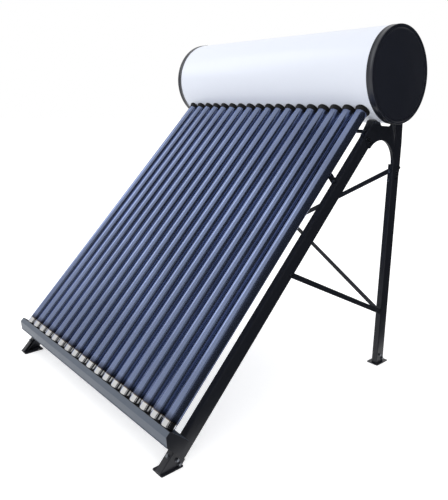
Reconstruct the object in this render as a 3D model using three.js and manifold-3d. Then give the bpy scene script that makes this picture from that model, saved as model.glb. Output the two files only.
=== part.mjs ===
// Solar water heater: an insulated tank on an angle-steel stand, fed by eighteen vacuum tubes.
// Millimetres. X runs along the tank, Y from the front feet to the back, Z up.
// The collector frame is tilted with the tubes. Its X is the stand's X, its Y (called u) runs up
// along the tubes, and its Z (called n) stands square to them, upwards and to the front.
import * as THREE from 'three';
import { mergeVertices } from 'three/addons/utils/BufferGeometryUtils.js';
import Module from 'manifold-3d';

const wasm = await Module();
wasm.setup();

// ---- Driving dimensions ----
const gap = 0.4;                    // clearance between neighbouring pieces
const tilt = THREE.MathUtils.degToRad(46);
const collectorY = 20.9;            // where the collector frame starts, behind the front feet
const collectorZ = 168.5;

const tubeCount = 18;
const tubePitch = 75;
const tubeRadius = 29;
const innerTubeRadius = 23.5;
const glassWall = 1.8;
const tubeTail = -42;               // u of the tube's closed end
const tubeMouth = 1758;             // u of its open end, inside the tank
const tubeSides = 8;

const tankU = 1821;                 // u of the tank's axis, on the tubes' plane
const tankSides = 32;
const shellRadius = 229.2;
const shellSheet = 0.5;
const shellHalfLength = 729;
const capRadius = 230.8;
const capSheet = 1.2;
const capFaceX = 731;
const capBand = 34;
const capDome = 11;
const boilerRadius = 180;
const boilerSheet = 0.8;
const boilerStraight = 674;         // half-length of the inner tank's straight wall
const foamHalfLength = 727.5;
const portRadius = 32.6;
const stubRadius = 13.2;
const stubBore = 9.5;
const stubReach = 264.8;            // from the tank's axis to the stubs' ends
const stubs = [[-560, -120], [560, -120], [60, 95]];

const steel = 2;                    // sheet thickness of the stand
const webX = 668;                   // outer face of rails and legs
const flangeWidth = 30;
const railFront = -76;
const railDepth = 58;
const railTop = 1600;
const legDepth = 54;
const legTop = 1046;
const legLean = 0.05;
const legBackAtFloor = 1362.4;
const plateThickness = 4;
const footX = [616.6, 680.6];
const anchorHoleRadius = 6;
const frontFootY = [-47, 53];
const rearFootY = [1295, 1390];

const troughHalfLength = 695;
const troughSheet = 1;

// ---- Materials ----
const paint = (color, roughness) => new THREE.MeshStandardMaterial({ color, roughness, metalness: 0 });
const frameSteel = paint('#23262e', 0.5);
const tankWhite = paint('#e9eefa', 0.25);
const capBlack = paint('#1b1e26', 0.4);
const foamCream = paint('#e6d9a8', 0.9);
const sealRubber = paint('#0c0c0e', 0.8);
const cupPlastic = paint('#15161a', 0.5);
const tubeGlass = paint('#06122f', 0.08);
const stainless = new THREE.MeshStandardMaterial({ color: '#b9bcc0', roughness: 0.3, metalness: 1 });

// ---- Frames of reference ----
const cosTilt = Math.cos(tilt);
const sinTilt = Math.sin(tilt);
const sidePoint = (u, n) => [collectorY + u * cosTilt - n * sinTilt, collectorZ + u * sinTilt + n * cosTilt];
const uAtHeight = (z, n) => (z - collectorZ - n * cosTilt) / sinTilt;
const legBack = (z) => legBackAtFloor + legLean * z;
const [tankY, tankZ] = sidePoint(tankU, 0);
const originY = (frontFootY[0] + tankY + stubReach) / 2;
const tubeX = (i) => (i - (tubeCount - 1) / 2) * tubePitch;

// ---- Shaping helpers ----
const towardsX = new THREE.Matrix4().makeBasis(
  new THREE.Vector3(0, 1, 0),
  new THREE.Vector3(0, 0, 1),
  new THREE.Vector3(1, 0, 0),
);

// An outline in the Y-Z plane, made thick along X.
function sheetAlongX(outline, xStart, xEnd) {
  const shape = new THREE.Shape(outline.map(([y, z]) => new THREE.Vector2(y, z)));
  const geometry = new THREE.ExtrudeGeometry(shape, { depth: xEnd - xStart, bevelEnabled: false });
  return geometry.applyMatrix4(towardsX).translate(xStart, 0, 0);
}

function block([x0, x1], [y0, y1], [z0, z1]) {
  const geometry = new THREE.BoxGeometry(x1 - x0, y1 - y0, z1 - z0);
  return geometry.translate((x0 + x1) / 2, (y0 + y1) / 2, (z0 + z1) / 2);
}

// A profile of [radius, height] points turned about Y.
function turned(profile, sides) {
  return new THREE.LatheGeometry(profile.map(([r, h]) => new THREE.Vector2(r, h)), sides);
}

// The same, turned about X.
const turnedAboutX = (profile, sides) => turned(profile, sides).rotateZ(-Math.PI / 2);

// A closed mesh with its shared corners merged and its flat triangles at the poles left out.
function toSolid(geometry) {
  const plain = geometry.clone();
  plain.deleteAttribute('normal');
  plain.deleteAttribute('uv');
  const merged = mergeVertices(plain, 1e-3);
  const corners = merged.index.array;
  const kept = [];
  for (let i = 0; i < corners.length; i += 3) {
    const [a, b, c] = corners.slice(i, i + 3);
    if (a !== b && b !== c && c !== a) kept.push(a, b, c);
  }
  const vertProperties = merged.attributes.position.array;
  return new wasm.Manifold(new wasm.Mesh({ numProp: 3, vertProperties, triVerts: new Uint32Array(kept) }));
}

function toGeometry(solid) {
  const mesh = solid.getMesh();
  const geometry = new THREE.BufferGeometry();
  geometry.setAttribute('position', new THREE.BufferAttribute(mesh.vertProperties, 3));
  geometry.setIndex(new THREE.BufferAttribute(mesh.triVerts, 1));
  geometry.computeVertexNormals();
  return geometry;
}

const joined = (pieces) => toGeometry(pieces.map(toSolid).reduce((a, b) => a.add(b)));
const cutAway = (piece, cutters) => toGeometry(cutters.map(toSolid).reduce((a, b) => a.subtract(b), toSolid(piece)));

// The left-hand twin of a right-hand piece.
function mirrored(geometry) {
  const twin = geometry.clone().scale(-1, 1, 1);
  const corners = twin.index.array;
  for (let i = 0; i < corners.length; i += 3) [corners[i], corners[i + 1]] = [corners[i + 1], corners[i]];
  twin.computeVertexNormals();
  return twin;
}

const heater = new THREE.Group();
heater.position.y = -originY;
const collector = new THREE.Group();
collector.position.set(0, collectorY, collectorZ);
collector.rotation.x = tilt;
const tank = new THREE.Group();
tank.position.set(0, tankY, tankZ);
heater.add(collector, tank);

function addPiece(group, name, geometry, material) {
  const mesh = new THREE.Mesh(geometry, material);
  mesh.name = name;
  group.add(mesh);
  return mesh;
}

function addPair(group, name, geometry, material) {
  addPiece(group, `${name}_right`, geometry, material);
  addPiece(group, `${name}_left`, mirrored(geometry), material);
}

// ---- Vacuum tubes ----
// Two nested glass tubes fused at the mouth. The space between them opens at the pumping hole
// in the tail, which the sealing tip closes on the real tube.
function vacuumTube() {
  const outer = tubeRadius - glassWall;
  const inner = innerTubeRadius - glassWall;
  const bend = Math.SQRT1_2;
  const tailCentre = tubeTail + tubeRadius;
  const innerCentre = tailCentre + 6.5;
  const pumpHole = 2.2;
  const fusedLip = 6;
  return toGeometry(toSolid(turned([
    [0, innerCentre - innerTubeRadius],
    [innerTubeRadius * bend, innerCentre - innerTubeRadius * bend],
    [innerTubeRadius, innerCentre],
    [innerTubeRadius, tubeMouth - fusedLip],
    [outer, tubeMouth - fusedLip],
    [outer, tailCentre],
    [outer * bend, tailCentre - outer * bend],
    [pumpHole, tubeTail + glassWall],
    [pumpHole, tubeTail],
    [tubeRadius * bend, tailCentre - tubeRadius * bend],
    [tubeRadius, tailCentre],
    [tubeRadius, tubeMouth],
    [inner, tubeMouth],
    [inner, innerCentre],
    [inner * bend, innerCentre - inner * bend],
    [0, innerCentre - inner],
  ], tubeSides)));
}

// Rubber sleeve through shell, foam and inner tank, with a flared dust ring under the shell.
function tubeSeal() {
  const bore = tubeRadius + gap;
  const sleeve = portRadius - gap;
  const flare = 36.5;
  const shellBottom = tankU - shellRadius - gap;
  const insideTank = tankU - boilerRadius + 11;
  return toGeometry(toSolid(turned([
    [bore, insideTank],
    [bore, shellBottom - 19],
    [bore + 1.8, shellBottom - 19],
    [flare, shellBottom - 5],
    [flare, shellBottom],
    [sleeve, shellBottom],
    [sleeve, insideTank],
    [bore, insideTank],
  ], tubeSides)));
}

const tubeShape = vacuumTube();
const sealShape = tubeSeal();
for (let i = 0; i < tubeCount; i += 1) {
  const number = String(i + 1).padStart(2, '0');
  addPiece(collector, `vacuum_tube_${number}`, tubeShape, tubeGlass).position.x = tubeX(i);
  addPiece(collector, `tube_seal_${number}`, sealShape, sealRubber).position.x = tubeX(i);
}

// ---- Tank ----
// Straight cutters on the tubes' lines, and square to the back on the pipe stubs' lines.
const portCutters = Array.from({ length: tubeCount }, (_, i) => (
  new THREE.CylinderGeometry(portRadius, portRadius, 220, tubeSides)
    .translate(0, -130, 0)
    .rotateX(tilt)
    .translate(tubeX(i), 0, 0)
));

function stubRod([x, z], radius, fromY, toY) {
  return new THREE.CylinderGeometry(radius, radius, toY - fromY, tubeSides).translate(x, (fromY + toY) / 2, z);
}

// The outline of the inner tank: a straight wall between dished heads, grown outwards by `grow`.
function boilerOutline(grow) {
  const half = [
    [boilerRadius + grow, boilerStraight],
    [0.92 * boilerRadius + grow, boilerStraight + 15 + grow],
    [0.6 * boilerRadius, boilerStraight + 25 + grow],
    [0, boilerStraight + 29 + grow],
  ];
  const otherHalf = half.map(([r, x]) => [r, -x]).reverse();
  return otherHalf.concat(half);
}

function innerTank() {
  const wall = toSolid(turnedAboutX(boilerOutline(0), tankSides));
  const water = toSolid(turnedAboutX(boilerOutline(-boilerSheet), tankSides));
  const rods = stubs.map((place) => toSolid(stubRod(place, stubRadius, 120, stubReach)));
  const bores = stubs.map((place) => toSolid(stubRod(place, stubBore, 100, stubReach + 10)));
  const ports = portCutters.map(toSolid);
  const body = rods.reduce((a, b) => a.add(b), wall);
  return toGeometry([water, ...bores, ...ports].reduce((a, b) => a.subtract(b), body));
}

function foamInsulation() {
  const radius = shellRadius - shellSheet - gap;
  const billet = turnedAboutX([[0, -foamHalfLength], [radius, -foamHalfLength], [radius, foamHalfLength],
    [0, foamHalfLength]], tankSides);
  const hollow = turnedAboutX(boilerOutline(gap), tankSides);
  const pipeHoles = stubs.map((place) => stubRod(place, stubRadius + gap, 100, 300));
  return cutAway(billet, [hollow, ...portCutters, ...pipeHoles]);
}

function outerShell() {
  const inside = shellRadius - shellSheet;
  const tube = turnedAboutX([[inside, -shellHalfLength], [shellRadius, -shellHalfLength],
    [shellRadius, shellHalfLength], [inside, shellHalfLength], [inside, -shellHalfLength]], tankSides);
  const pipeHoles = stubs.map((place) => stubRod(place, stubRadius + 1.5, 100, 300));
  return cutAway(tube, [...portCutters, ...pipeHoles]);
}

// A shallow lid: a skirt over the shell's end, a rolled rim and a low dome.
function endCap() {
  const skirtInside = shellRadius + gap;
  const domeEdge = 0.9 * capRadius;
  return toGeometry(toSolid(turnedAboutX([
    [0, capFaceX + capDome - capSheet],
    [0.5 * domeEdge, capFaceX + 0.75 * capDome - capSheet],
    [domeEdge, capFaceX - 1 - capSheet],
    [skirtInside, capFaceX - capSheet],
    [skirtInside, capFaceX - capBand],
    [capRadius, capFaceX - capBand],
    [capRadius, capFaceX - 3],
    [capRadius - 3, capFaceX],
    [domeEdge, capFaceX - 1],
    [0.5 * domeEdge, capFaceX + 0.75 * capDome],
    [0, capFaceX + capDome],
  ], tankSides)));
}

addPiece(tank, 'inner_tank', innerTank(), stainless);
addPiece(tank, 'foam_insulation', foamInsulation(), foamCream);
addPiece(tank, 'outer_shell', outerShell(), tankWhite);
addPair(tank, 'end_cap', endCap(), capBlack);

// ---- Stand: rails and legs of angle steel ----
function frontRail() {
  const back = railFront - railDepth;
  const foot = plateThickness + gap;
  const end = (n) => [uAtHeight(foot, n), n];
  const web = [end(railFront), end(back), [railTop, back], [railTop, railFront]];
  const flange = [end(railFront), end(railFront - steel), [railTop, railFront - steel], [railTop, railFront]];
  return joined([
    sheetAlongX(web, webX - steel, webX),
    sheetAlongX(flange, webX - flangeWidth, webX),
  ]);
}

function rearLeg() {
  const foot = plateThickness + gap;
  const strip = (front, depth) => [
    [legBack(foot) - front, foot],
    [legBack(foot) - front + depth, foot],
    [legBack(legTop) - front + depth, legTop],
    [legBack(legTop) - front, legTop],
  ];
  return joined([
    sheetAlongX(strip(legDepth, legDepth), webX - steel, webX),
    sheetAlongX(strip(legDepth, steel), webX - flangeWidth, webX),
  ]);
}

addPair(collector, 'front_rail', frontRail(), frameSteel);
addPair(heater, 'rear_leg', rearLeg(), frameSteel);

// ---- Feet ----
const anchorHole = (y) => (
  new THREE.CylinderGeometry(anchorHoleRadius, anchorHoleRadius, 20, tubeSides)
    .rotateX(Math.PI / 2)
    .translate((footX[0] + webX - flangeWidth) / 2, y, 0)
);

// A short angle shoe round the rail's lower end, on a floor plate.
function frontFoot() {
  const front = -63;
  const back = railFront - railDepth - 3;
  const top = -75;
  const buried = plateThickness / 2;
  const outline = (from, to) => [
    sidePoint(uAtHeight(buried, from), from),
    sidePoint(uAtHeight(buried, to), to),
    sidePoint(top, to),
    sidePoint(top, from),
  ];
  const inside = webX + gap;
  const shoe = joined([
    sheetAlongX(outline(front, back), inside, inside + steel),
    sheetAlongX(outline(front, front - steel), webX - flangeWidth + 2, inside + steel),
    block(footX, frontFootY, [0, plateThickness]),
  ]);
  const inFront = block([500, 800], [frontFootY[0] - 100, frontFootY[0]], [-10, 100]);
  return cutAway(shoe, [inFront, anchorHole(frontFootY[1] - 22)]);
}

// A floor plate with an upright tab inside the leg.
function rearFoot() {
  const tabX = webX - steel - gap;
  const plate = joined([
    block(footX, rearFootY, [0, plateThickness]),
    block([tabX - 3, tabX], [legBack(0) - legDepth + 8, legBack(0) - 4], [plateThickness / 2, 75]),
  ]);
  return cutAway(plate, [anchorHole(rearFootY[0] + 45)]);
}

addPair(heater, 'front_foot', frontFoot(), frameSteel);
addPair(heater, 'rear_foot', rearFoot(), frameSteel);

// ---- Arch brackets, which join rail, leg and tank ----
const arcPoints = (centre, radiusY, radiusZ, from, to, steps) => Array.from({ length: steps + 1 }, (_, i) => {
  const angle = THREE.MathUtils.degToRad(from + ((to - from) * i) / steps);
  return [centre[0] + radiusY * Math.cos(angle), centre[1] + radiusZ * Math.sin(angle)];
});

// Points on the tank's round, at a clearance `away` from the shell, between two places in Y.
function saddlePoints(yStart, yEnd, away, steps) {
  const radius = shellRadius + away;
  return Array.from({ length: steps + 1 }, (_, i) => {
    const y = yStart + ((yEnd - yStart) * i) / steps;
    return [y, tankZ - Math.sqrt(radius ** 2 - (y - tankY) ** 2)];
  });
}

function archBracket() {
  const inside = webX + gap;
  const outside = inside + steel;
  const sleeve = railFront + gap + steel;
  const railEnd = 1490;
  const crown = [1236, 1171];
  const legFront = (z) => legBack(z) - legDepth - gap - steel;
  const legRear = (z) => legBack(Math.min(z, 1150)) + gap + steel;
  const saddleFront = [sidePoint(1602, sleeve)[0], 1228];
  const saddleRear = [1312, legRear(1200)];
  const clearance = gap + steel;
  const archEnd = 1050;
  const archRight = [legFront(archEnd), archEnd];
  const rise = crown[1] - archEnd;
  const railBack = railFront - railDepth;
  const archLeft = arcPoints([crown[0], crown[1] - 115], 115, 115, 136, 90, 4);
  const archRightHalf = arcPoints([crown[0], archEnd], archRight[0] - crown[0], rise, 90, 0, 5).slice(1);
  const web = [
    sidePoint(railEnd, sleeve),
    ...saddlePoints(...saddleFront, clearance, 2),
    [1234, 1240],
    [1304, 1236],
    ...saddlePoints(...saddleRear, clearance, 3),
    [legRear(1150), 1150],
    [legRear(1007), 1007],
    [legFront(973), 973],
    ...archRightHalf.reverse(),
    ...archLeft.reverse(),
    sidePoint(railEnd - 15, railBack),
    sidePoint(railEnd - 15, railBack + 20),
  ];
  const along = (path, offset) => path.concat(path.map(([y, z]) => [y + offset[0], z + offset[1]]).reverse());
  const frontStrip = along([sidePoint(railEnd, sleeve), sidePoint(1601, sleeve)],
    [steel * sinTilt, -steel * cosTilt]);
  const legStrip = along([[legFront(973), 973], ...arcPoints([crown[0], archEnd], archRight[0] - crown[0],
    rise, 0, 50, 4)], [steel, 0]);
  const backStrip = along([[legRear(1007), 1007], [legRear(1150), 1150], [legRear(1200), 1270]], [-steel, 0]);
  const saddle = (range) => sheetAlongX(saddlePoints(...range, clearance, 8)
    .concat(saddlePoints(...range, gap, 8).reverse()), webX - flangeWidth - 8, outside);
  return joined([
    sheetAlongX(web, inside, outside),
    sheetAlongX(frontStrip, webX - flangeWidth - 4, outside),
    sheetAlongX(legStrip, webX - 16, outside),
    sheetAlongX(backStrip, webX - 16, outside),
    saddle([saddleFront[0] + 2, saddleFront[1]]),
    saddle([saddleRear[0], saddleRear[1] - steel]),
  ]);
}

addPair(heater, 'arch_bracket', archBracket(), frameSteel);

// ---- Braces ----
// A flat bar between two places in the X-Y plane of its group, from n = low to n = high.
function flatBar([x0, y0], [x1, y1], width, low, high) {
  const length = Math.hypot(x1 - x0, y1 - y0);
  return new THREE.BoxGeometry(length, width, high - low)
    .rotateZ(Math.atan2(y1 - y0, x1 - x0))
    .translate((x0 + x1) / 2, (y0 + y1) / 2, (low + high) / 2);
}

const barOnRail = railFront + gap;
const barOnBracket = railFront + gap + steel + gap;
const crossBarU = [1514, 1536];

function crossBar() {
  const lipReach = webX - flangeWidth - 12;
  return joined([
    block([-655, 655], crossBarU, [barOnBracket, barOnBracket + 2.5]),
    block([-lipReach, lipReach], [crossBarU[1] - steel, crossBarU[1]], [barOnBracket - 14, barOnBracket + 1]),
  ]);
}

addPiece(collector, 'upper_cross_bar', crossBar(), frameSteel);
addPair(collector, 'knee_brace', toGeometry(toSolid(
  flatBar([652, 1217], [262, 1520], 27, barOnRail, barOnBracket - gap),
)), frameSteel);

// A side brace, flat against the rail's web, with a bent tab on the leg's front flange.
function sideBrace() {
  const start = [612, 634];
  const end = [1321, 284.5];
  const halfWidth = 12;
  const thickness = 3;
  const xOut = webX - steel - gap;
  const face = (z) => legBack(z) - legDepth - gap;
  const [tabLow, tabHigh] = [264, 314];
  const bar = [
    [start[0], start[1] - halfWidth],
    [end[0], end[1] - halfWidth],
    [end[0], end[1] + halfWidth],
    [start[0], start[1] + halfWidth],
  ];
  const tab = [
    [face(tabLow) - thickness, tabLow],
    [face(tabLow), tabLow],
    [face(tabHigh), tabHigh],
    [face(tabHigh) - thickness, tabHigh],
  ];
  return joined([
    sheetAlongX(bar, xOut - thickness, xOut),
    sheetAlongX(tab, webX - flangeWidth + 4, xOut),
  ]);
}

addPair(heater, 'side_brace', sideBrace(), frameSteel);

// Two long diagonals behind the legs' front flanges, leaning with the legs.
const backPlane = new THREE.Group();
backPlane.position.y = legBackAtFloor - legDepth;
backPlane.rotation.x = Math.PI / 2 - Math.atan(legLean);
heater.add(backPlane);
const diagonalEnds = [[650, 284], [-650, 1018]];
const diagonal = ([right, left], layer) => {
  const near = -steel - gap - layer * (3 + gap);
  return toGeometry(toSolid(flatBar(right, left, 24, near - 3, near)));
};
addPiece(backPlane, 'back_diagonal_a', diagonal(diagonalEnds, 0), frameSteel);
addPiece(backPlane, 'back_diagonal_b', diagonal([[-650, 284], [650, 1018]], 1), frameSteel);

// ---- Tail trough and the cups that carry the tubes ----
function tailTrough() {
  const back = railFront + gap;
  const outside = [[-20, 34], [-43.5, 35.6], [-73, 0.6], [-75, back], [-12, back]];
  const inside = [[0, 34 - troughSheet], [-20, 34 - troughSheet], [-43, 35.6 - troughSheet - 0.4],
    [-72, 0.6], [-74, back + troughSheet], [0, back + troughSheet]];
  const innerHalf = troughHalfLength - troughSheet;
  return cutAway(
    sheetAlongX(outside, -troughHalfLength, troughHalfLength),
    [sheetAlongX(inside, -innerHalf, innerHalf)],
  );
}

function cupStrip() {
  const floorTop = tubeTail - gap;
  const floorBottom = floorTop - 1.6;
  const cupInside = tubeRadius + 0.8;
  const cupOutside = cupInside + 1.7;
  const cup = (i) => turned([[cupInside, floorTop - 0.8], [cupOutside, floorTop - 0.8], [cupOutside, -21],
    [cupInside, -21], [cupInside, floorTop - 0.8]], tubeSides).translate(tubeX(i), 0, 0);
  const reach = troughHalfLength - troughSheet - gap;
  const shelf = block([-reach, reach], [floorBottom, floorTop], [railFront + 3, 30.5]);
  return joined([shelf, ...Array.from({ length: tubeCount }, (_, i) => cup(i))]);
}

addPiece(collector, 'tail_trough', tailTrough(), frameSteel);
addPiece(collector, 'tail_cup_strip', cupStrip(), cupPlastic);

export default heater;
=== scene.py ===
import math

import bmesh
import bpy
import numpy as np
from mathutils import Matrix, Vector


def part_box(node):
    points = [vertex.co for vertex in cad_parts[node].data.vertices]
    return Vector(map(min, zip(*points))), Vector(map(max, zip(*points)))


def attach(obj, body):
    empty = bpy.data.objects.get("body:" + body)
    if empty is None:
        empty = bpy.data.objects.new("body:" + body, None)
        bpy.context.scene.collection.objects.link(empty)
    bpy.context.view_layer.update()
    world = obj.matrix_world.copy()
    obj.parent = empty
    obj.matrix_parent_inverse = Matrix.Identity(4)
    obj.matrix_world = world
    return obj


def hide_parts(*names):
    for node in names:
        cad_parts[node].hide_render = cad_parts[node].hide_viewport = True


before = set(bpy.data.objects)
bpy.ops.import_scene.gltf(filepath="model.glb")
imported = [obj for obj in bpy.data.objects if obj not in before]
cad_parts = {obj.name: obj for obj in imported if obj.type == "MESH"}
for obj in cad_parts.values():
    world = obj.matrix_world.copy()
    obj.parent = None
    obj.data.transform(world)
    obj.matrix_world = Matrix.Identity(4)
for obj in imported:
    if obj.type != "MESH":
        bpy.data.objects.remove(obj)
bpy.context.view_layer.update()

# ---- Dimensions, in metres ----
TILT = math.radians(46)
U = np.array([0.0, math.cos(TILT), math.sin(TILT)])     # up along the tubes
N = np.array([0.0, -math.sin(TILT), math.cos(TILT)])    # square to them, up and forwards
X = np.array([1.0, 0.0, 0.0])
Y = np.array([0.0, 1.0, 0.0])
Z = np.array([0.0, 0.0, 1.0])
TANK_U = 1.821
SHELL_LOW, SHELL_HIGH = (np.array(corner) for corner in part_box("outer_shell"))
TANK = (SHELL_LOW + SHELL_HIGH) / 2
TANK[0] = 0.0
COLLECTOR = TANK - TANK_U * U                            # where u = n = 0
SHELL_RADIUS = 0.2292
SHELL_HALF = 0.729
CAP_RADIUS = 0.2308
CAP_FACE = 0.731
TUBES = 18
PITCH = 0.075
TUBE_RADIUS = 0.029
WEB = 0.668
STEEL = 0.002
GAP = 0.0004
LEG_LEAN = 0.05
LEG_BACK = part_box("rear_leg_right")[1][1] - LEG_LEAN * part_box("rear_leg_right")[1][2]
STUBS = [(-0.56, -0.12), (0.56, -0.12), (0.06, 0.095)]
STUB_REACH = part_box("inner_tank")[1][1] - TANK[1]


def tube_x(i):
    return (i - (TUBES - 1) / 2) * PITCH


def leg_back(z):
    return LEG_BACK + LEG_LEAN * z


def on_collector(x, u, n):
    """Row-frame point of collector coordinates: start + x X + u U + n N."""
    return COLLECTOR + x * X + u * U + n * N


# ---- Camera ----
def place_camera():
    """A pinhole turned by yaw about Z, then pitched down, then rolled about its own line of sight."""
    yaw, pitch, roll = math.radians(49.082), math.radians(9.635), math.radians(-0.411)
    forward = Vector((-math.sin(yaw) * math.cos(pitch), math.cos(yaw) * math.cos(pitch), -math.sin(pitch)))
    level = Vector((math.cos(yaw), math.sin(yaw), 0.0))
    down = forward.cross(level)
    right = level * math.cos(roll) + down * math.sin(roll)
    down = down * math.cos(roll) - level * math.sin(roll)
    turn = Matrix((right, -down, -forward)).transposed().to_4x4()
    camera = bpy.data.objects.new("camera", bpy.data.cameras.new("camera"))
    camera.matrix_world = Matrix.Translation((2.1966, COLLECTOR[1] - 1.0716, 1.3496)) @ turn
    camera.data.lens = 39.75
    camera.data.shift_x = -0.0085
    camera.data.shift_y = -0.1097
    bpy.context.scene.collection.objects.link(camera)
    bpy.context.scene.camera = camera


place_camera()


# ---- Mesh helpers ----
def make_piece(name, vertices, faces, material, slot, body="root", stands_for=(), sharp=32):
    """A mesh at the origin with merged doubles, outward faces and smooth shading up to `sharp` degrees."""
    mesh = bpy.data.meshes.new(name)
    mesh.from_pydata(np.asarray(vertices).tolist(), [], [list(face) for face in faces])
    work = bmesh.new()
    work.from_mesh(mesh)
    bmesh.ops.remove_doubles(work, verts=work.verts, dist=1e-6)
    bmesh.ops.dissolve_degenerate(work, edges=work.edges, dist=1e-7)
    bmesh.ops.recalc_face_normals(work, faces=work.faces)
    work.to_mesh(mesh)
    work.free()
    mesh.shade_smooth()
    mesh.set_sharp_from_angle(angle=math.radians(sharp))
    mesh.materials.append(material)
    piece = bpy.data.objects.new(name, mesh)
    bpy.context.scene.collection.objects.link(piece)
    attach(piece, body)
    if stands_for:
        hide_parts(*stands_for)
    return piece


def grid_faces(rows, columns, wrap_rows=False, wrap_columns=False, start=0):
    """Quads of a rows x columns grid of points, as one array, joined round where it wraps."""
    r = np.arange(rows if wrap_rows else rows - 1)
    c = np.arange(columns if wrap_columns else columns - 1)
    r, c = np.meshgrid(r, c, indexing="ij")
    down, across = (r + 1) % rows, (c + 1) % columns
    quads = np.stack([r * columns + c, r * columns + across, down * columns + across, down * columns + c], -1)
    return (quads.reshape(-1, 4) + start).tolist()


def joined(parts):
    """Several (vertices, faces) pairs as one."""
    vertices, faces, start = [], [], 0
    for points, polygons in parts:
        points = np.asarray(points, float).reshape(-1, 3)
        vertices.append(points)
        faces += [[corner + start for corner in polygon] for polygon in polygons]
        start += len(points)
    return np.concatenate(vertices), faces


def turned(profile, origin, axis, sides, closed=False):
    """Surface of revolution: origin + h axis + r (cos t e1 + sin t e2), for (r, h) along the profile."""
    profile = np.asarray(profile, float)
    axis = np.asarray(axis, float)
    e1 = X if abs(axis @ X) < 0.9 else Y
    e1 = e1 - (e1 @ axis) * axis
    e1 /= np.linalg.norm(e1)
    e2 = np.cross(axis, e1)
    t = np.arange(sides) * 2 * np.pi / sides
    rim = np.cos(t)[:, None] * e1 + np.sin(t)[:, None] * e2
    points = np.asarray(origin) + profile[:, 1, None, None] * axis + profile[:, 0, None, None] * rim
    return points.reshape(-1, 3), grid_faces(len(profile), sides, closed, True)


def arc(centre, radius, start, end, steps):
    """Points of a circular arc, angles in degrees."""
    t = np.radians(np.linspace(start, end, steps + 1))
    return np.stack([centre[0] + radius * np.cos(t), centre[1] + radius * np.sin(t)], -1)


def rounded(points, radius, steps=4):
    """An open 2D path with each inner corner swapped for a quadratic curve that starts `radius` before it."""
    points = np.asarray(points, float)
    t = np.linspace(0, 1, steps + 1)[:, None]
    out = [points[:1]]
    for before, corner, after in zip(points[:-2], points[1:-1], points[2:]):
        a = corner + (before - corner) * min(radius / np.linalg.norm(before - corner), 0.45)
        b = corner + (after - corner) * min(radius / np.linalg.norm(after - corner), 0.45)
        out.append((1 - t) ** 2 * a + 2 * t * (1 - t) * corner + t ** 2 * b)
    out.append(points[-1:])
    return np.concatenate(out)


def thickened(path, thickness):
    """Closed outline of a sheet: the open 2D path, then the same path moved to its right, backwards."""
    along = np.gradient(path, axis=0)
    along /= np.linalg.norm(along, axis=1)[:, None]
    right = np.stack([along[:, 1], -along[:, 0]], -1)
    return np.concatenate([path, (path + right * thickness)[::-1]])


def prism(near, far):
    """Solid between two matching closed outlines of 3D points, with flat ends."""
    count = len(near)
    sides = grid_faces(2, count, False, True)
    ends = [list(range(count)), list(range(2 * count - 1, count - 1, -1))]
    return np.concatenate([near, far]), sides + ends


def plate(outline, x0, x1):
    """A flat plate: a closed (y, z) outline between two places in X."""
    outline = np.asarray(outline)
    near = np.column_stack([np.full(len(outline), x0), outline])
    far = np.column_stack([np.full(len(outline), x1), outline])
    return prism(near, far)


def mirrored(part):
    """The left-hand twin of a part."""
    points = np.array(part[0], float)
    points[:, 0] *= -1
    return points, [polygon[::-1] for polygon in part[1]]


def cut(piece, parts):
    """Takes closed parts out of a piece."""
    vertices, faces = joined(parts)
    mesh = bpy.data.meshes.new("cutter")
    mesh.from_pydata(vertices.tolist(), [], faces)
    work = bmesh.new()
    work.from_mesh(mesh)
    bmesh.ops.remove_doubles(work, verts=work.verts, dist=1e-6)
    bmesh.ops.recalc_face_normals(work, faces=work.faces)
    work.to_mesh(mesh)
    work.free()
    cutter = bpy.data.objects.new("cutter", mesh)
    bpy.context.scene.collection.objects.link(cutter)
    boolean = piece.modifiers.new("holes", "BOOLEAN")
    boolean.operation = "DIFFERENCE"
    boolean.solver = "EXACT"
    boolean.object = cutter
    bpy.context.view_layer.update()
    result = bpy.data.meshes.new_from_object(piece.evaluated_get(bpy.context.evaluated_depsgraph_get()))
    piece.modifiers.clear()
    result.set_sharp_from_angle(angle=math.radians(32))
    piece.data = result
    bpy.data.objects.remove(cutter)


# ---- Shader helpers ----
def new_material(name):
    material = bpy.data.materials.new(name)
    material.use_nodes = True
    nodes = material.node_tree.nodes
    return material, nodes, material.node_tree.links, nodes["Principled BSDF"]


def add(nodes, kind, **values):
    """A node with its settings and unlinked inputs given by name."""
    node = nodes.new(kind)
    for key, value in values.items():
        if hasattr(node, key):
            setattr(node, key, value)
        else:
            node.inputs[key.replace("_", " ")].default_value = value
    return node


def math_node(nodes, links, operation, first, second):
    node = nodes.new("ShaderNodeMath")
    node.operation = operation
    for socket, value in zip(node.inputs, (first, second)):
        if hasattr(value, "links"):
            links.new(value, socket)
        else:
            socket.default_value = value
    return node.outputs[0]


def new_group(name, inputs, outputs):
    """A node group with float inputs {name: default} and outputs {name: socket type}."""
    group = bpy.data.node_groups.new(name, "ShaderNodeTree")
    for label, default in inputs.items():
        socket = group.interface.new_socket(label, in_out="INPUT", socket_type="NodeSocketFloat")
        socket.default_value = default
    for label, kind in outputs.items():
        group.interface.new_socket(label, in_out="OUTPUT", socket_type=kind)
    source = group.nodes.new("NodeGroupInput")
    sink = group.nodes.new("NodeGroupOutput")
    return group, source, sink


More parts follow.
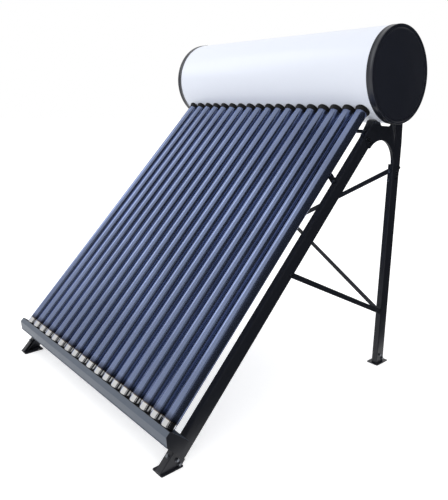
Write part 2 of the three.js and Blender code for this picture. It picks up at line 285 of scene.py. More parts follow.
def build_surface_grain():
    """Fine skin: noise drives a bump and a roughness that wanders round its middle value."""
    group, source, sink = new_group(
        "surface_grain",
        {"Scale": 700.0, "Height": 0.0001, "Roughness": 0.4, "Spread": 0.1},
        {"Normal": "NodeSocketVector", "Roughness": "NodeSocketFloat"},
    )
    nodes, links = group.nodes, group.links
    place = nodes.new("ShaderNodeTexCoord")
    fine = add(nodes, "ShaderNodeTexNoise", Detail=3.0)
    links.new(place.outputs["Object"], fine.inputs["Vector"])
    links.new(source.outputs["Scale"], fine.inputs["Scale"])
    bump = add(nodes, "ShaderNodeBump", Strength=1.0)
    links.new(source.outputs["Height"], bump.inputs["Distance"])
    links.new(fine.outputs["Fac"], bump.inputs["Height"])
    links.new(bump.outputs["Normal"], sink.inputs["Normal"])
    broad = add(nodes, "ShaderNodeTexNoise", Scale=9.0, Detail=4.0)
    links.new(place.outputs["Object"], broad.inputs["Vector"])
    centred = math_node(nodes, links, "SUBTRACT", broad.outputs["Fac"], 0.5)
    scaled = math_node(nodes, links, "MULTIPLY", centred, source.outputs["Spread"])
    total = math_node(nodes, links, "ADD", scaled, source.outputs["Roughness"])
    links.new(total, sink.inputs["Roughness"])
    return group


def build_weathering():
    """Dust: strongest near the ground and on faces that look up, broken up by noise."""
    group, source, sink = new_group(
        "weathering", {"Amount": 0.2, "Reach": 0.25}, {"Dust": "NodeSocketFloat"})
    nodes, links = group.nodes, group.links
    place = nodes.new("ShaderNodeTexCoord")
    parts = nodes.new("ShaderNodeSeparateXYZ")
    links.new(place.outputs["Object"], parts.inputs[0])
    fall = math_node(nodes, links, "DIVIDE", parts.outputs["Z"], source.outputs["Reach"])
    low = math_node(nodes, links, "SUBTRACT", 1.0, fall)
    low = math_node(nodes, links, "MAXIMUM", low, 0.0)
    shape = nodes.new("ShaderNodeNewGeometry")
    facing = nodes.new("ShaderNodeSeparateXYZ")
    links.new(shape.outputs["Normal"], facing.inputs[0])
    up = math_node(nodes, links, "MAXIMUM", facing.outputs["Z"], 0.0)
    both = math_node(nodes, links, "ADD", low, math_node(nodes, links, "MULTIPLY", up, 0.35))
    noise = add(nodes, "ShaderNodeTexNoise", Scale=24.0, Detail=6.0)
    links.new(place.outputs["Object"], noise.inputs["Vector"])
    broken = math_node(nodes, links, "MULTIPLY", both, noise.outputs["Fac"])
    links.new(math_node(nodes, links, "MULTIPLY", broken, source.outputs["Amount"]), sink.inputs["Dust"])
    return group


SURFACE_GRAIN = build_surface_grain()
WEATHERING = build_weathering()


def use_group(nodes, group, **values):
    node = nodes.new("ShaderNodeGroup")
    node.node_tree = group
    for label, value in values.items():
        node.inputs[label].default_value = value
    return node


DUST_COLOUR = (0.36, 0.34, 0.31, 1)


def coated(name, colour, roughness, spread=0.1, scale=700.0, height=0.0001, dust=0.2, metallic=0.0,
           specular=0.5, mottling=0.1):
    """Paint, plastic, rubber or metal: a base colour with faint mottling and dust over a fine grain."""
    material, nodes, links, shader = new_material(name)
    grain = use_group(nodes, SURFACE_GRAIN, Scale=scale, Height=height, Roughness=roughness, Spread=spread)
    links.new(grain.outputs["Normal"], shader.inputs["Normal"])
    links.new(grain.outputs["Roughness"], shader.inputs["Roughness"])
    place = nodes.new("ShaderNodeTexCoord")
    mottle = add(nodes, "ShaderNodeTexNoise", Scale=14.0, Detail=5.0)
    links.new(place.outputs["Object"], mottle.inputs["Vector"])
    tint = nodes.new("ShaderNodeMix")
    tint.data_type = "RGBA"
    tint.inputs["A"].default_value = (*[c * (1 - mottling) for c in colour], 1)
    tint.inputs["B"].default_value = (*[min(c * (1 + mottling), 1.0) for c in colour], 1)
    links.new(mottle.outputs["Fac"], tint.inputs["Factor"])
    weather = use_group(nodes, WEATHERING, Amount=dust)
    dusty = nodes.new("ShaderNodeMix")
    dusty.data_type = "RGBA"
    dusty.inputs["B"].default_value = DUST_COLOUR
    links.new(weather.outputs["Dust"], dusty.inputs["Factor"])
    links.new(tint.outputs["Result"], dusty.inputs["A"])
    links.new(dusty.outputs["Result"], shader.inputs["Base Color"])
    shader.inputs["Metallic"].default_value = metallic
    shader.inputs["Specular IOR Level"].default_value = specular
    return material


def build_tube_glass():
    """Clear glass over a blue metallic coating. Towards the tail (small u) the coating gives way to a mirror,
    with a brownish ring painted in as the mirror's dim reflection of the ground."""
    material, nodes, links, shader = new_material("tube_glass")
    place = nodes.new("ShaderNodeTexCoord")
    along = nodes.new("ShaderNodeVectorMath")
    along.operation = "DOT_PRODUCT"
    links.new(place.outputs["Object"], along.inputs[0])
    along.inputs[1].default_value = tuple(U)
    u = math_node(nodes, links, "SUBTRACT", along.outputs["Value"], float(COLLECTOR @ U))
    ragged = add(nodes, "ShaderNodeTexNoise", Scale=60.0, Detail=2.0)
    links.new(place.outputs["Object"], ragged.inputs["Vector"])
    edge = math_node(nodes, links, "MULTIPLY", ragged.outputs["Fac"], 0.004)
    u = math_node(nodes, links, "ADD", u, edge)
    span = nodes.new("ShaderNodeMapRange")
    span.inputs["From Min"].default_value = -0.04
    span.inputs["From Max"].default_value = 0.04
    links.new(u, span.inputs["Value"])
    colours = nodes.new("ShaderNodeValToRGB")
    stops = colours.color_ramp.elements
    stops[0].position, stops[0].color = 0.0, (0.80, 0.80, 0.80, 1)
    stops[1].position, stops[1].color = 1.0, (0.20, 0.25, 0.41, 1)
    # The brownish stop at 0.635 is a painted reflection: the dim ground seen in the tail mirror, laid on as a
    # ring.
    for position, colour in ((0.60, (0.78, 0.78, 0.78, 1)), (0.635, (0.30, 0.22, 0.15, 1)),
                             (0.655, (0.008, 0.012, 0.03, 1))):
        stop = stops.new(position)
        stop.color = colour
    links.new(span.outputs["Result"], colours.inputs["Fac"])
    streaks = add(nodes, "ShaderNodeTexNoise", Scale=3.0, Detail=3.0)
    links.new(place.outputs["Object"], streaks.inputs["Vector"])
    deep = nodes.new("ShaderNodeMix")
    deep.data_type = "RGBA"
    deep.blend_type = "MULTIPLY"
    deep.inputs["Factor"].default_value = 0.5
    links.new(colours.outputs["Color"], deep.inputs["A"])
    links.new(streaks.outputs["Fac"], deep.inputs["B"])
    links.new(deep.outputs["Result"], shader.inputs["Base Color"])
    mirror = nodes.new("ShaderNodeMapRange")
    mirror.inputs["From Min"].default_value = 0.0085
    mirror.inputs["From Max"].default_value = 0.0125
    mirror.inputs["To Min"].default_value = 1.0
    mirror.inputs["To Max"].default_value = 0.92
    links.new(u, mirror.inputs["Value"])
    links.new(mirror.outputs["Result"], shader.inputs["Metallic"])
    soft = nodes.new("ShaderNodeMapRange")
    soft.inputs["From Min"].default_value = 0.92
    soft.inputs["To Min"].default_value = 0.20
    soft.inputs["To Max"].default_value = 0.16
    links.new(mirror.outputs["Result"], soft.inputs["Value"])
    links.new(soft.outputs["Result"], shader.inputs["Roughness"])
    shader.inputs["Specular IOR Level"].default_value = 0.5
    shader.inputs["Specular Tint"].default_value = (0.42, 0.55, 1.0, 1)
    shader.inputs["Coat Weight"].default_value = 0.7
    shader.inputs["Coat Roughness"].default_value = 0.03
    shader.inputs["Coat IOR"].default_value = 1.45
    return material


TUBE_GLASS = build_tube_glass()
TANK_ENAMEL = coated("tank_enamel", (0.82, 0.86, 0.955), 0.30, 0.03, 40.0, 0.00001, dust=0.0,
                     specular=0.4, mottling=0.01)
CAP_PAINT = coated("cap_paint", (0.0115, 0.0135, 0.021), 0.32, 0.10, 900.0, 0.00004, dust=0.01, specular=0.4)
FRAME_PAINT = coated("frame_paint", (0.009, 0.0105, 0.0155), 0.34, 0.14, 1100.0, 0.00008,
                     dust=0.03, specular=0.35)
TROUGH_PAINT = coated("trough_paint", (0.085, 0.105, 0.140), 0.38, 0.12, 900.0, 0.00005,
                      dust=0.10, specular=0.3)
SEAL_RUBBER = coated("seal_rubber", (0.006, 0.006, 0.007), 0.62, 0.12, 1400.0, 0.00012,
                     dust=0.02, specular=0.2)
CUP_PLASTIC = coated("cup_plastic", (0.014, 0.014, 0.017), 0.5, 0.1, 900.0, 0.00006, dust=0.1)
ZINC = coated("zinc_plate", (0.16, 0.17, 0.19), 0.34, 0.2, 600.0, 0.00003, dust=0.05, metallic=1.0)
STAINLESS = coated("stainless", (0.60, 0.61, 0.62), 0.30, 0.15, 300.0, 0.00003, dust=0.0, metallic=1.0)
FOAM = coated("foam", (0.74, 0.62, 0.34), 0.9, 0.05, 420.0, 0.0006, dust=0.0)

for node, material in (("inner_tank", STAINLESS), ("foam_insulation", FOAM)):
    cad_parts[node].data.materials.clear()
    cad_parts[node].data.materials.append(material)


# ---- Vacuum tubes ----
def tube_profile():
    """(r, u) of the double wall: inner glass from its pole to the mouth, over the lip, down the outer
    glass and round the tail. The space between is left out, since nothing shows of it."""
    tail, mouth, inner = -0.042, 1.758, 0.0217
    centre = tail + TUBE_RADIUS
    inside = arc((0, centre + 0.0065), inner, -90, 0, 8)
    lip = np.array([[inner, mouth - 0.001], [inner + 0.0015, mouth], [TUBE_RADIUS - 0.0015, mouth],
                    [TUBE_RADIUS, mouth - 0.0015]])
    outside = arc((0, centre), TUBE_RADIUS, 0, -90, 12)
    return np.concatenate([inside, lip, outside])


def make_tubes():
    profile = tube_profile()
    for i in range(TUBES):
        part = turned(profile, on_collector(tube_x(i), 0, 0), U, 40)
        number = f"{i + 1:02d}"
        make_piece(f"glass_tube_{number}", *part, TUBE_GLASS, "tube_glass", f"tube_{number}",
                   [f"vacuum_tube_{number}"])


def seal_profile():
    """(r, u) of the sleeve and its dust ring: a soft flare with a rolled rim against the shell."""
    shell = TANK_U - SHELL_RADIUS - GAP
    bore, sleeve, flare = TUBE_RADIUS + GAP, 0.0322, 0.0365
    skin = rounded([(bore, shell - 0.019), (bore + 0.0018, shell - 0.019), (0.0325, shell - 0.011),
                    (flare, shell - 0.0055), (flare, shell), (sleeve, shell)], 0.0016)
    inside = TANK_U - 0.18 + 0.011
    return np.concatenate([skin, [[sleeve, inside], [bore, inside]]])


def make_seals():
    profile = seal_profile()
    for i in range(TUBES):
        points, faces = turned(profile, on_collector(tube_x(i), 0, 0), U, 48, closed=True)
        rise = points - COLLECTOR
        n = rise @ N
        curve = SHELL_RADIUS - np.sqrt(SHELL_RADIUS ** 2 - n ** 2)
        u = rise @ U
        shell = TANK_U - SHELL_RADIUS
        near = np.clip((u - (shell - 0.0075)) / 0.005, 0, 1) * (u < shell + 0.001)
        points = points + (near * curve)[:, None] * U
        number = f"{i + 1:02d}"
        make_piece(f"dust_ring_{number}", points, faces, SEAL_RUBBER, "seal_rubber", "root",
                   [f"tube_seal_{number}"])


# ---- Tank ----
def make_shell():
    """A sheet cylinder with a shallow rolled bead near each end, and the tube ports and stub holes cut through it.
    """
    half, skin = SHELL_HALF, 0.0005
    outside = [(SHELL_RADIUS, -half)]
    for end in (-1, 1):
        middle = end * (half - 0.055)
        outside += [(SHELL_RADIUS - 0.0009 * math.exp(-(s / 0.0022) ** 2), middle + s)
                    for s in np.linspace(-0.006, 0.006, 9)]
    outside.append((SHELL_RADIUS, half))
    inside = [(SHELL_RADIUS - skin, half), (SHELL_RADIUS - skin, -half)]
    part = turned(outside + inside, TANK, X, 160, closed=True)
    shell = make_piece("tank_shell", *part, TANK_ENAMEL, "tank_enamel", "root", ["outer_shell"])
    ports = [turned([(0, 1.55), (0.0326, 1.55), (0.0326, 1.68), (0, 1.68)],
                    on_collector(tube_x(i), 0, 0), U, 48) for i in range(TUBES)]
    holes = [turned([(0, 0.15), (0.0158, 0.15), (0.0158, 0.26), (0, 0.26)],
                    TANK + x * X + z * Z, Y, 32) for x, z in STUBS]
    cut(shell, ports + holes)


def make_end_caps():
    """A lid: skirt, rolled rim, a narrow flat step, then a low dome r -> height of a cosine."""
    rim = CAP_FACE - 0.003
    skirt = [(SHELL_RADIUS + GAP, CAP_FACE - 0.034), (CAP_RADIUS, CAP_FACE - 0.034),
             (CAP_RADIUS, CAP_FACE - 0.031), (CAP_RADIUS - 0.0006, CAP_FACE - 0.0298),
             (CAP_RADIUS - 0.0006, CAP_FACE - 0.0122), (CAP_RADIUS, CAP_FACE - 0.011)]
    bead = arc((CAP_RADIUS - 0.003, rim), 0.003, 0, 90, 6)
    step = [(CAP_RADIUS - 0.009, CAP_FACE - 0.0004), (CAP_RADIUS - 0.0125, CAP_FACE - 0.0032),
            (CAP_RADIUS - 0.0165, CAP_FACE - 0.0034)]
    r = np.linspace(CAP_RADIUS - 0.0205, 0, 26)
    edge = CAP_RADIUS - 0.0205
    dome = np.stack([r, CAP_FACE - 0.001 + 0.0115 * np.cos(r / edge * np.pi / 2)], -1)
    outside = np.concatenate([skirt, bead, step, dome])
    inside = np.array([(0, CAP_FACE + 0.009), (0.12, CAP_FACE + 0.005), (0.205, CAP_FACE - 0.006),
                       (SHELL_RADIUS + GAP, CAP_FACE - 0.0065), (SHELL_RADIUS + GAP, CAP_FACE - 0.034)])
    part = turned(np.concatenate([outside, inside]), TANK, X, 160)
    make_piece("tank_lid_right", *part, CAP_PAINT, "cap_paint", "root", ["end_cap_right"])
    make_piece("tank_lid_left", *mirrored(part), CAP_PAINT, "cap_paint", "root", ["end_cap_left"])


def make_stub_fittings():
    """Threads over the pipe stubs (r swings with height once per pitch) and a rosette round each."""
    for number, (x, z) in enumerate(STUBS, 1):
        centre = TANK + x * X + z * Z
        shell = math.sqrt(SHELL_RADIUS ** 2 - z ** 2)
        h = np.linspace(STUB_REACH - 0.022, STUB_REACH - 0.0012, 92)
        r = 0.01395 + 0.0006 * np.cos((h - h[0]) * 2 * np.pi / 0.0018)
        barrel = [(0.0133, shell - 0.02), (0.0133, STUB_REACH - 0.0225)]
        mouth = [(0.0134, STUB_REACH - 0.0002), (0.0125, STUB_REACH), (0.0085, STUB_REACH),
                 (0.0085, shell - 0.02)]
        profile = np.concatenate([barrel, np.stack([r, h], -1), mouth])
        make_piece(f"stub_thread_{number}", *turned(profile, centre, Y, 40, closed=True), STAINLESS,
                   "stainless")
        lean = math.atan2(z, shell)
        out = math.cos(lean) * Y + math.sin(lean) * Z
        ring = rounded([(0.0146, SHELL_RADIUS - 0.004), (0.0146, SHELL_RADIUS + 0.006),
                        (0.018, SHELL_RADIUS + 0.006), (0.027, SHELL_RADIUS + 0.0012),
                        (0.027, SHELL_RADIUS - 0.004)], 0.0015)
        make_piece(f"stub_rosette_{number}", *turned(ring, TANK + x * X, out, 48, closed=True),
                   SEAL_RUBBER, "seal_rubber")


# ---- Stand ----
def angle_section(front, depth, flange):
    """Closed outline (x, n) of angle steel: flange edge, rounded bend, web edge."""
    path = rounded([(WEB - flange, front), (WEB, front), (WEB, front - depth)], 0.0045, 6)
    return thickened(path, STEEL)


def make_rails():
    section = angle_section(-0.076, 0.058, 0.030)
    foot = 0.0044
    starts = (foot - COLLECTOR[2] - section[:, 1] * N[2]) / U[2]
    near = np.array([on_collector(x, u, n) for (x, n), u in zip(section, starts)])
    far = np.array([on_collector(x, 1.600, n) for x, n in section])
    rail = prism(near, far)
    make_piece("rail_right", *rail, FRAME_PAINT, "frame_paint", "root", ["front_rail_right"])
    make_piece("rail_left", *mirrored(rail), FRAME_PAINT, "frame_paint", "root", ["front_rail_left"])


def make_legs():
    section = angle_section(0, 0.054, 0.030)
    foot, top = 0.0044, 1.046

    def at(z):
        return np.array([(x, leg_back(z) - 0.054 - depth, z) for x, depth in section])

    leg = prism(at(foot), at(top))
    make_piece("leg_right", *leg, FRAME_PAINT, "frame_paint", "root", ["rear_leg_right"])
    make_piece("leg_left", *mirrored(leg), FRAME_PAINT, "frame_paint", "root", ["rear_leg_left"])


def row_y(y):
    """Row-frame Y of a distance behind the front feet's reference line."""
    return y + COLLECTOR[1] - 0.0209


def side(u, n):
    """(y, z) of a place in the collector's side view."""
    return on_collector(0, u, n)[1:]


def swept(section_at, stations):
    """Solid swept through closed outlines: section_at(t) gives one ring of 3D points."""
    rings = [section_at(t) for t in stations]
    count, last = len(rings[0]), (len(rings) - 1) * len(rings[0])
    faces = grid_faces(len(rings), count, False, True)
    return np.concatenate(rings), faces + [list(range(count)), list(range(last + count - 1, last - 1, -1))]


BEND = 0.0045


def flange_strip(path, inward, edges, outside):
    """A bent edge: along a (y, z) path, from the flange's free edge in X round a bend onto the web.
    `inward` points from the path into the web, and `edges` gives the free edge's X at each point."""
    path, inward, edges = np.asarray(path), np.asarray(inward), np.asarray(edges)
    quarter = np.radians(np.linspace(90, 0, 6))
    outer = np.stack([outside - BEND + BEND * np.cos(quarter), BEND - BEND * np.sin(quarter)], -1)
    tight = BEND - STEEL
    inner = np.stack([outside - BEND + tight * np.cos(quarter), BEND - tight * np.sin(quarter)], -1)

    def ring(i):
        edge = min(edges[i], outside - BEND - 0.0002)
        section = np.concatenate([[(edge, 0)], outer, inner[::-1], [(edge, STEEL)]])
        spot = path[i] + section[:, 1:] * inward[i]
        return np.column_stack([section[:, 0], spot])

    return swept(ring, range(len(path)))


def bracket_parts():
    """Web, front flange, leg flange, back flange and the two saddle flanges that carry the tank."""
    inside, outside = WEB + GAP, WEB + GAP + STEEL
    sleeve = -0.076 + GAP + STEEL
    seat = SHELL_RADIUS + GAP
    tank_y, tank_z = TANK[1], TANK[2]
    crown_y, crown_z, spring_z = row_y(1.236), 1.171, 1.050

    def front_of_leg(z):
        return leg_back(z) - 0.054 - GAP - STEEL

    def rear(z):
        return leg_back(np.minimum(z, 1.150)) + GAP + STEEL

    front_path = np.array([side(u, sleeve) for u in np.linspace(1.490, 1.598, 8)])
    front_in = np.tile(-N[1:], (8, 1))
    front_edge = np.linspace(WEB - 0.028, WEB - 0.042, 8)

    def saddle(y_start, y_end, steps=14):
        y = np.linspace(y_start, y_end, steps)
        drop = np.stack([y - tank_y, -np.sqrt(seat ** 2 - (y - tank_y) ** 2)], -1)
        out = drop / seat
        return drop + (tank_y, tank_z), out

    saddle_front, front_out = saddle(side(1.598, sleeve)[0] + 0.005, row_y(1.228))
    saddle_rear, rear_out = saddle(row_y(1.312), rear(1.2) - 0.006)
    radius_y = front_of_leg(spring_z) - crown_y
    z_low = np.linspace(0.973, spring_z, 6)[:-1]
    t = np.radians(np.linspace(0, 90, 25))
    bow = np.stack([crown_y + radius_y * np.cos(t), spring_z + (crown_z - spring_z) * np.sin(t)], -1)
    bow_out = np.stack([np.cos(t) / radius_y, np.sin(t) / (crown_z - spring_z)], -1)
    bow_out /= np.linalg.norm(bow_out, axis=1)[:, None]
    leg_path = np.concatenate([np.stack([front_of_leg(z_low), z_low], -1), bow])
    leg_in = np.concatenate([np.tile((1.0, 0.0), (5, 1)), bow_out])
    leg_edge = np.concatenate([np.full(5, WEB - 0.016), WEB - 0.016 + 0.012 * (t / t[-1]) ** 2])
    z_back = np.array([1.007, 1.05, 1.10, 1.15, 1.20, 1.27])
    back_path = np.stack([rear(z_back), z_back], -1)
    back_in = np.tile((-1.0, 0.0), (len(z_back), 1))
    left_bow = arc((crown_y, crown_z - 0.115), 0.115, 90, 136, 12)
    leg_line = leg_path + leg_in * BEND
    leg_line[-1] = leg_path[-1]                          # the flange stops short of the crown
    outline = np.concatenate([
        front_path + front_in * BEND,
        saddle_front + front_out * BEND,
        rounded([(row_y(1.228), saddle_front[-1][1] - BEND), (row_y(1.234), 1.241), (row_y(1.304), 1.236),
                 (row_y(1.312), saddle_rear[0][1] - BEND)], 0.006)[1:-1],
        saddle_rear + rear_out * BEND,
        (back_path + back_in * BEND)[::-1],
        leg_line,
        left_bow,
        [side(1.475, -0.134), side(1.475, -0.114)],
    ])
    return [
        plate(outline, inside, outside),
        flange_strip(front_path, front_in, front_edge, outside),
        flange_strip(saddle_front, front_out, np.full(14, WEB - 0.038), outside),
        flange_strip(saddle_rear, rear_out, np.full(14, WEB - 0.038), outside),
        flange_strip(back_path, back_in, np.full(len(z_back), WEB - 0.016), outside),
        flange_strip(leg_path[:-1], leg_in[:-1], leg_edge[:-1], outside),
    ]


def add_pair(name, parts, material, slot, node=None):
    """The right-hand piece and its left-hand twin, in place of the node's pair."""
    whole = joined(parts)
    make_piece(f"{name}_right", *whole, material, slot, "root", [f"{node}_right"] if node else [])
    make_piece(f"{name}_left", *mirrored(whole), material, slot, "root", [f"{node}_left"] if node else [])


def make_brackets():
    add_pair("bracket", bracket_parts(), FRAME_PAINT, "frame_paint", "arch_bracket")


# ---- Feet ----
def floor_plate(y0, y1, thickness=0.004):
    """A floor plate with rounded corners and a softened top edge."""
    corner, x0, x1 = 0.006, 0.6166, 0.6806
    ends = [(x1 - corner, y1 - corner, 0), (x0 + corner, y1 - corner, 90), (x0 + corner, y0 + corner, 180),
            (x1 - corner, y0 + corner, 270)]

    def ring(shrink, z):
        loop = np.concatenate([arc((x, y), corner - shrink, a, a + 90, 5) for x, y, a in ends])
        return np.column_stack([loop, np.full(len(loop), z)])

    rings = [ring(0, 0), ring(0, thickness - 0.0008), ring(0.0008, thickness)]
    return swept(lambda i: rings[i], range(3))


def hole(x, y, radius=0.006):
    return turned([(0, -0.01), (radius, -0.01), (radius, 0.02), (0, 0.02)], (x, y, 0), Z, 32)


def make_feet():
    y0, y1 = row_y(-0.047), row_y(0.053)
    path = rounded([(WEB - 0.028, -0.063), (WEB + GAP + STEEL, -0.063),
                    (WEB + GAP + STEEL, -0.137)], 0.0045, 6)
    section = thickened(path, STEEL)
    floor_u = (0.003 - COLLECTOR[2] - section[:, 1] * N[2]) / U[2]
    front_u = (y0 + 0.001 - COLLECTOR[1] - section[:, 1] * N[1]) / U[1]
    near = [on_collector(x, u, n) for (x, n), u in zip(section, np.maximum(floor_u, front_u))]
    far = [on_collector(x, -0.075, n) for x, n in section]
    shoe = prism(np.array(near), np.array(far))
    add_pair("front_shoe", [shoe, floor_plate(y0, y1)], FRAME_PAINT, "frame_paint", "front_foot")
    r0, r1 = row_y(1.295), row_y(1.390)
    tab_x = WEB - STEEL - GAP
    tab = np.array([(leg_back(0) - 0.046, 0.002), (leg_back(0) - 0.004, 0.002), (leg_back(0) - 0.001, 0.066),
                    (leg_back(0) - 0.010, 0.075), (leg_back(0) - 0.034, 0.075), (leg_back(0) - 0.043, 0.066)])
    add_pair("rear_plate", [plate(tab, tab_x - 0.003, tab_x), floor_plate(r0, r1)], FRAME_PAINT,
             "frame_paint", "rear_foot")
    for name, y in (("front_shoe", y1 - 0.022), ("rear_plate", r0 + 0.045)):
        for hand, sign in (("right", 1), ("left", -1)):
            cut(bpy.data.objects[f"{name}_{hand}"], [hole(sign * (0.6166 + 0.638) / 2, y)])


# ---- Braces ----
def flat_bar(start, end, face, width, thickness):
    """A flat bar with its outer face on the line from start to end, where `face` points out of it."""
    start, end, face = (np.asarray(v, float) for v in (start, end, face))
    across = np.cross(face, end - start)
    across *= width / 2 / np.linalg.norm(across)
    ring = np.array([-across, across, across - face * thickness, -across - face * thickness])
    return prism(start + ring, end + ring)


def make_braces():
    x_out = WEB - STEEL - GAP
    low, high = np.array([x_out, row_y(0.612), 0.634]), np.array([x_out, row_y(1.321), 0.2845])
    z_tab = np.array([0.264, 0.314])
    face = leg_back(z_tab) - 0.054 - GAP
    tab = np.array([(face[0] - 0.0025, z_tab[0]), (face[0], z_tab[0]), (face[1], z_tab[1]),
                    (face[1] - 0.0025, z_tab[1])])
    add_pair("side_bar", [flat_bar(low, high, X, 0.024, 0.0026), plate(tab, WEB - 0.026, x_out)],
             FRAME_PAINT, "frame_paint", "side_brace")
    on_rail = -0.076 + GAP
    on_bracket = on_rail + STEEL + GAP
    knee_face = on_rail + 0.0016
    knee = flat_bar(on_collector(0.652, 1.217, knee_face), on_collector(0.262, 1.520, knee_face), N, 0.027, 0.0016)
    add_pair("knee_bar", [knee], FRAME_PAINT, "frame_paint", "knee_brace")
    path = rounded([(1.514, on_bracket + 0.0022), (1.536, on_bracket + 0.0022), (1.536, on_bracket - 0.0135)],
                   0.003, 4)
    section = thickened(path, 0.0022)
    lip = section[:, 1] < on_bracket - 0.0002
    reach = np.where(lip, WEB - 0.043, 0.655)
    bar = prism(np.array([on_collector(-x, u, n) for (u, n), x in zip(section, reach)]),
                np.array([on_collector(x, u, n) for (u, n), x in zip(section, reach)]))
    make_piece("cross_bar", *bar, FRAME_PAINT, "frame_paint", "root", ["upper_cross_bar"])
    lean = math.atan(LEG_LEAN)
    up = np.array([0, math.sin(lean), math.cos(lean)])
    front = np.array([0, -math.cos(lean), math.sin(lean)])
    foot = np.array([0, leg_back(0) - 0.054, 0])
    for name, layer, hand in (("back_diagonal_a", 0, 1), ("back_diagonal_b", 1, -1)):
        depth = -STEEL - GAP - layer * (0.003 + GAP) - 0.0014
        ends = [foot + hand * x * X + s * up + depth * front for x, s in ((0.650, 0.284), (-0.650, 1.018))]
        bar = flat_bar(*ends, front, 0.024, 0.0016)
        make_piece(f"{name}_bar", *bar, FRAME_PAINT, "frame_paint", "root", [name])


# ---- Tail trough and cups ----
def make_trough():
    """A folded sheet trough with hemmed edges, and an end plate at each end."""
    back = -0.076 + GAP
    path = rounded([(-0.0245, 0.0322), (-0.0205, 0.0338), (-0.0435, 0.0356), (-0.073, 0.0006),
                    (-0.075, back), (-0.012, back)], 0.0032, 5)
    section = thickened(path, -0.001)
    half = 0.694
    body = prism(np.array([on_collector(-half, u, n) for u, n in section]),
                 np.array([on_collector(half, u, n) for u, n in section]))
    skin = rounded([(-0.020, 0.034), (-0.0435, 0.0356), (-0.073, 0.0006), (-0.075, back), (-0.012, back),
                    (-0.020, 0.034)], 0.003, 5)[:-1]
    ends = [prism(np.array([on_collector(sign * half, u, n) for u, n in skin]),
                  np.array([on_collector(sign * 0.695, u, n) for u, n in skin])) for sign in (-1, 1)]
    make_piece("trough", *body, TROUGH_PAINT, "trough_paint", "root", ["tail_trough"])
    # The end plates take the frame's darker paint instead of the trough's: painted shade on the trough's end
    # faces.
    make_piece("trough_ends", *joined(ends), FRAME_PAINT, "frame_paint", "root", ["tail_trough"])
    hem = turned([(0, -0.6935), (0.0011, -0.693), (0.0011, 0.693), (0, 0.6935)],
                 on_collector(0, -0.0722, 0.0030), X, 12)
    make_piece("trough_hem", *hem, TROUGH_PAINT, "trough_paint")


def make_cups():
    """One moulded cup per tube, with a rolled rim, on a shelf inside the trough."""
    floor = -0.0424
    bore = TUBE_RADIUS + 0.0008
    wall = rounded([(bore + 0.0004, floor), (bore, -0.0215), (bore + 0.0006, -0.0205),
                    (bore + 0.0017, -0.021),
                    (bore + 0.0016, floor - 0.0008), (bore + 0.0004, floor - 0.0008)], 0.0005, 3)
    cups = [turned(wall, on_collector(tube_x(i), 0, 0), U, 40, closed=True) for i in range(TUBES)]
    reach = 0.6935
    outline = np.array([(floor - 0.0016, -0.073), (floor, -0.073), (floor, 0.0305), (floor - 0.0016, 0.0305)])
    shelf = prism(np.array([on_collector(-reach, u, n) for u, n in outline]),
                  np.array([on_collector(reach, u, n) for u, n in outline]))
    make_piece("tail_cups", *joined([shelf] + cups), CUP_PLASTIC, "cup_plastic", "root", ["tail_cup_strip"])


# ---- Bolts ----
def hex_bolt(place, facing, across=0.013, washer=0.0085):
    """A washer under a hexagon head whose top edge is rounded off."""
    facing = np.asarray(facing, float)
    ring = turned(rounded([(0, 0), (washer, 0), (washer, 0.0015), (0, 0.0015)], 0.0004, 2), place, facing, 24)
    corner = across / math.sqrt(3)
    head = turned([(0, 0.0012), (corner, 0.0012), (corner, 0.0060), (corner * 0.86, 0.0070), (0, 0.0071)],
                  place, facing, 6)
    return [ring, head]


def make_bolts():
    lean = math.atan(LEG_LEAN)
    front = np.array([0, -math.cos(lean), math.sin(lean)])
    web = WEB + GAP + STEEL

    def on_leg(x, z):
        return (x, leg_back(z) - 0.054 - 0.0001, z)

    def on_leg_tab(x, z):
        return (x, leg_back(z) - 0.054 - GAP - 0.0026, z)

    places = [
        ((web, row_y(1.381), 1.006), X), ((WEB, row_y(1.391), 0.978), X), ((web, row_y(1.404), 1.028), X),
        ((web, *side(1.500, -0.094)), X), ((web, *side(1.500, -0.120)), X),
        (on_leg(0.647, 0.966), front), (on_leg(0.650, 1.012), front), (on_leg_tab(0.652, 0.290), front),
        (on_collector(0.646, 1.525, -0.0709), N), (on_collector(0.648, 1.502, -0.0735), N),
        (on_collector(0.646, 1.2215, -0.0739), N), (on_collector(0.268, 1.524, -0.0709), N),
        (on_collector(0.655, -0.098, -0.0629), N), ((web, *side(-0.092, -0.100)), X),
        ((web, *side(-0.100, -0.122)), X), ((WEB, row_y(0.632), 0.624), X),
        ((WEB, leg_back(0.045) - 0.032, 0.045), X), ((WEB, leg_back(0.045) - 0.012, 0.022), X),
    ]
    parts = [part for place, facing in places for part in hex_bolt(place, facing)]
    make_piece("bolts_right", *joined(parts), ZINC, "frame_paint")
    make_piece("bolts_left", *mirrored(joined(parts)), ZINC, "frame_paint")
    crossing = (0, leg_back(0.651) - 0.054 + STEEL + GAP + 0.0012, 0.651)
    make_piece("bolt_crossing", *joined(hex_bolt(crossing, front)), ZINC, "frame_paint")


# ---- Lights, floor and backdrop ----
def area_light(name, place, target, size, power, colour=(1, 1, 1)):
    light = bpy.data.lights.new(name, "AREA")
    light.shape = "RECTANGLE"
    light.size, light.size_y = size
    light.energy = power
    light.color = colour
    lamp = bpy.data.objects.new(name, light)
    lamp.location = place
    lamp.rotation_euler = (Vector(target) - Vector(place)).to_track_quat("-Z", "Y").to_euler()
    bpy.context.scene.collection.objects.link(lamp)


def dark_board(name, corners):
    """A black studio board, unseen by the camera, whose reflection keeps the dark parts dark."""
    mesh = bpy.data.meshes.new(name)
    mesh.from_pydata(corners, [], [(0, 1, 2, 3)])
    material, _, _, shader = new_material(name)
    shader.inputs["Base Color"].default_value = (0.01, 0.01, 0.012, 1)
    shader.inputs["Specular IOR Level"].default_value = 0.0
    mesh.materials.append(material)
    board = bpy.data.objects.new(name, mesh)
    bpy.context.scene.collection.objects.link(board)
    board.visible_camera = False
    board.visible_diffuse = False
    board.visible_shadow = False


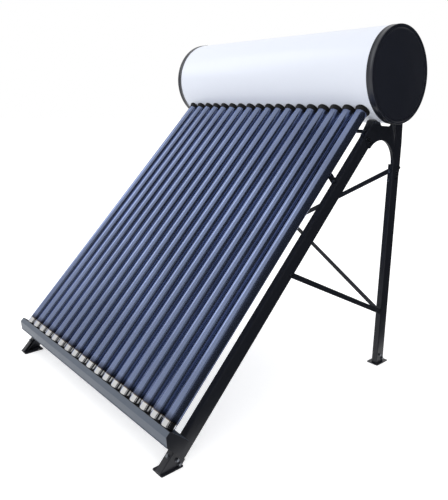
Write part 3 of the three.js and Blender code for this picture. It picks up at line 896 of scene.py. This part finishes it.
def light_path_any(nodes, links, *names):
    """1 where a ray is of any of the named kinds."""
    path = nodes.new("ShaderNodeLightPath")
    total = path.outputs[names[0]]
    for name in names[1:]:
        total = math_node(nodes, links, "MAXIMUM", total, path.outputs[name])
    return total


def make_world(level):
    world = bpy.data.worlds.new("studio")
    world.use_nodes = True
    nodes, links = world.node_tree.nodes, world.node_tree.links
    seen = light_path_any(nodes, links, "Is Camera Ray", "Is Glossy Ray", "Is Transmission Ray")
    span = nodes.new("ShaderNodeMapRange")
    span.inputs["To Min"].default_value = level
    links.new(seen, span.inputs["Value"])
    nodes["Background"].inputs["Color"].default_value = (1, 1, 1, 1)
    links.new(span.outputs["Result"], nodes["Background"].inputs["Strength"])
    bpy.context.scene.world = world


def make_floor():
    """A wide pale disc whose own light, for the camera only, lifts it to the backdrop's white."""
    part = turned([(0, 0), (40, 0)], (0, 0, -0.0002), Z, 96)
    mesh = bpy.data.meshes.new("floor")
    mesh.from_pydata(part[0].tolist(), [], part[1])
    work = bmesh.new()
    work.from_mesh(mesh)
    bmesh.ops.remove_doubles(work, verts=work.verts, dist=1e-6)
    work.to_mesh(mesh)
    work.free()
    floor = bpy.data.objects.new("floor", mesh)
    bpy.context.scene.collection.objects.link(floor)
    material, nodes, links, shader = new_material("floor")
    shader.inputs["Base Color"].default_value = (0.93, 0.93, 0.93, 1)
    shader.inputs["Roughness"].default_value = 0.9
    shader.inputs["Specular IOR Level"].default_value = 0.0
    seen = light_path_any(nodes, links, "Is Camera Ray", "Is Glossy Ray", "Is Transmission Ray")
    shader.inputs["Emission Color"].default_value = (1, 1, 1, 1)
    links.new(math_node(nodes, links, "MULTIPLY", seen, 0.45), shader.inputs["Emission Strength"])
    mesh.materials.append(material)


make_tubes()
make_seals()
make_shell()
make_end_caps()
make_stub_fittings()
make_rails()
make_legs()
make_brackets()
make_feet()
make_braces()
make_trough()
make_cups()
make_bolts()
area_light("key", (-3.2, -1.6, 3.6), (0, 0.1, 0.8), (1.5, 3.2), 28, (0.93, 0.96, 1.0))
area_light("fill", (3.4, -2.6, 2.6), (0.2, 0.2, 0.9), (2.5, 2.5), 10)
make_world(0.95)
make_floor()
WALL_X, WALL_FRONT, WALL_BACK, WALL_TOP, BACK_TOP = 3.2, -6, 7, 7, 4.4
dark_board("board_wall", [(WALL_X, WALL_FRONT, 0), (WALL_X, WALL_BACK, 0), (WALL_X, WALL_BACK, WALL_TOP),
                          (WALL_X, WALL_FRONT, WALL_TOP)])
dark_board("board_back", [(1.1, WALL_BACK, 0), (WALL_X, WALL_BACK, 0), (WALL_X, WALL_BACK, BACK_TOP),
                          (1.1, WALL_BACK, BACK_TOP)])
dark_board("board_floor", [(0.8, -1.4, 0.001), (WALL_X, -1.4, 0.001), (WALL_X, WALL_BACK, 0.001),
                           (0.8, WALL_BACK, 0.001)])
bpy.context.scene.view_settings.view_transform = "Standard"
